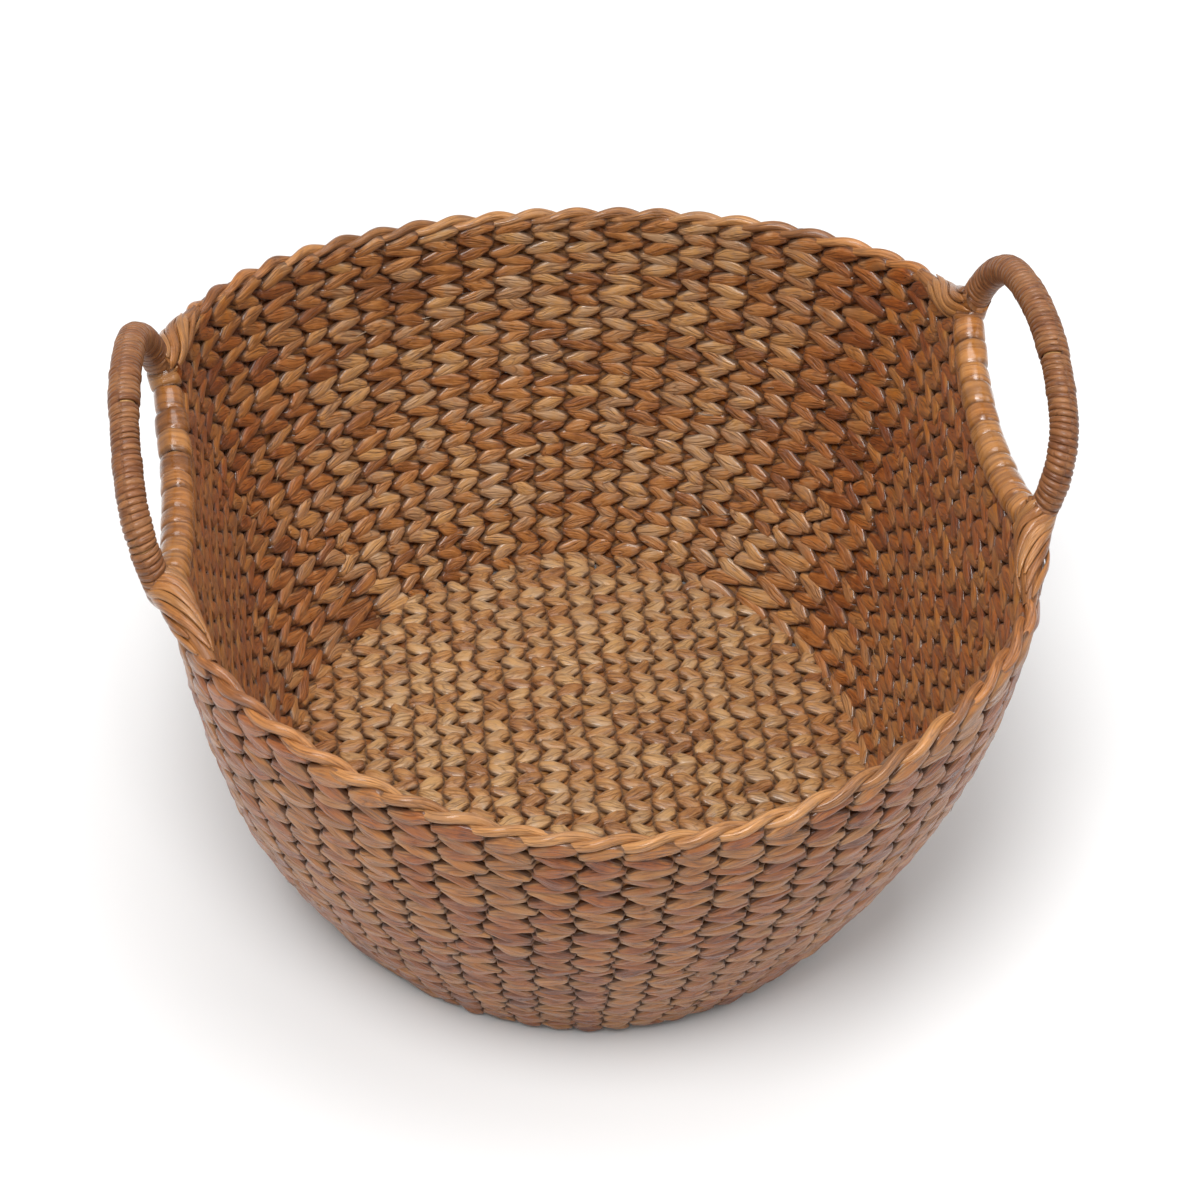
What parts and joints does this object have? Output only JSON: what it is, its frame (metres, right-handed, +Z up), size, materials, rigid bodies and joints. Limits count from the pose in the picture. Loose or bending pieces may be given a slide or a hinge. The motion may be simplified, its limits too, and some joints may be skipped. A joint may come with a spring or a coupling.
{
  "type": "woven wicker basket",
  "caption": "Round-cornered open basket of twined plant-fibre strands with a twisted rope rim and two cord-wrapped hoop handles on its raised sides.",
  "frame": {"origin": "centre of the floor's underside", "axes": "+Z up out of the basket's mouth, +X towards the taller right handle, -Y towards the front"},
  "size_m": [0.4744, 0.4884, 0.3214],
  "materials": {
    "wall_strand": "satin lacquered plant-fibre strand, orange brown with greyish highlights",
    "floor_strand": "satin plant-fibre strand, lighter tan brown",
    "stake_bark": "dull brown flat fibre band",
    "rim_rope": "golden twisted fibre rope, lightly lacquered",
    "grip_cord": "fine twisted fibre cord, tightly wound",
    "flat_strip": "glossy flat peel strip",
    "hoop_cane": "bare bent cane"
  },
  "bodies": {
    "root": {"weft_course_01_outer": "wall_strand", "weft_course_01_inner": "wall_strand", "weft_course_02_outer": "wall_strand", "weft_course_02_inner": "wall_strand", "weft_course_03_outer": "wall_strand", "weft_course_03_inner": "wall_strand", "weft_course_04_outer": "wall_strand", "weft_course_04_inner": "wall_strand", "weft_course_05_outer": "wall_strand", "weft_course_05_inner": "wall_strand", "weft_course_06_outer": "wall_strand", "weft_course_06_inner": "wall_strand", "weft_course_07_outer": "wall_strand", "weft_course_07_inner": "wall_strand", "weft_course_08_outer": "wall_strand", "weft_course_08_inner": "wall_strand", "weft_course_09_outer": "wall_strand", "weft_course_09_inner": "wall_strand", "weft_course_10_outer": "wall_strand", "weft_course_10_inner": "wall_strand", "weft_course_11_outer": "wall_strand", "weft_course_11_inner": "wall_strand", "weft_course_12_outer": "wall_strand", "weft_course_12_inner": "wall_strand", "weft_course_13_outer": "wall_strand", "weft_course_13_inner": "wall_strand", "weft_course_14_outer": "wall_strand", "weft_course_14_inner": "wall_strand", "weft_course_15_outer": "wall_strand", "weft_course_15_inner": "wall_strand", "side_top_right_outer": "wall_strand", "side_top_right_inner": "wall_strand", "side_top_left_outer": "wall_strand", "side_top_left_inner": "wall_strand", "floor_weft_lower": "floor_strand", "floor_weft_upper": "floor_strand", "long_stakes": "stake_bark", "panel_stakes_back": "stake_bark", "panel_stakes_front": "stake_bark", "side_stakes_left": "stake_bark", "side_stakes_right": "stake_bark", "corner_stakes": "stake_bark", "floor_stakes": "stake_bark", "rim_strand_outer": "rim_rope", "rim_strand_inner": "rim_rope", "rim_tie_front_right": "flat_strip", "rim_tie_front_left": "flat_strip", "rim_tie_back_right": "flat_strip", "rim_tie_back_left": "flat_strip", "hoop_core_right": "hoop_cane", "grip_cord_right": "grip_cord", "bar_strips_right": "flat_strip", "hoop_core_left": "hoop_cane", "grip_cord_left": "grip_cord", "bar_strips_left": "flat_strip", "foot_lashing_back_right": "flat_strip", "foot_lashing_back_left": "flat_strip", "foot_lashing_front_right": "flat_strip", "foot_lashing_front_left": "flat_strip"}
  },
  "joints": []
}
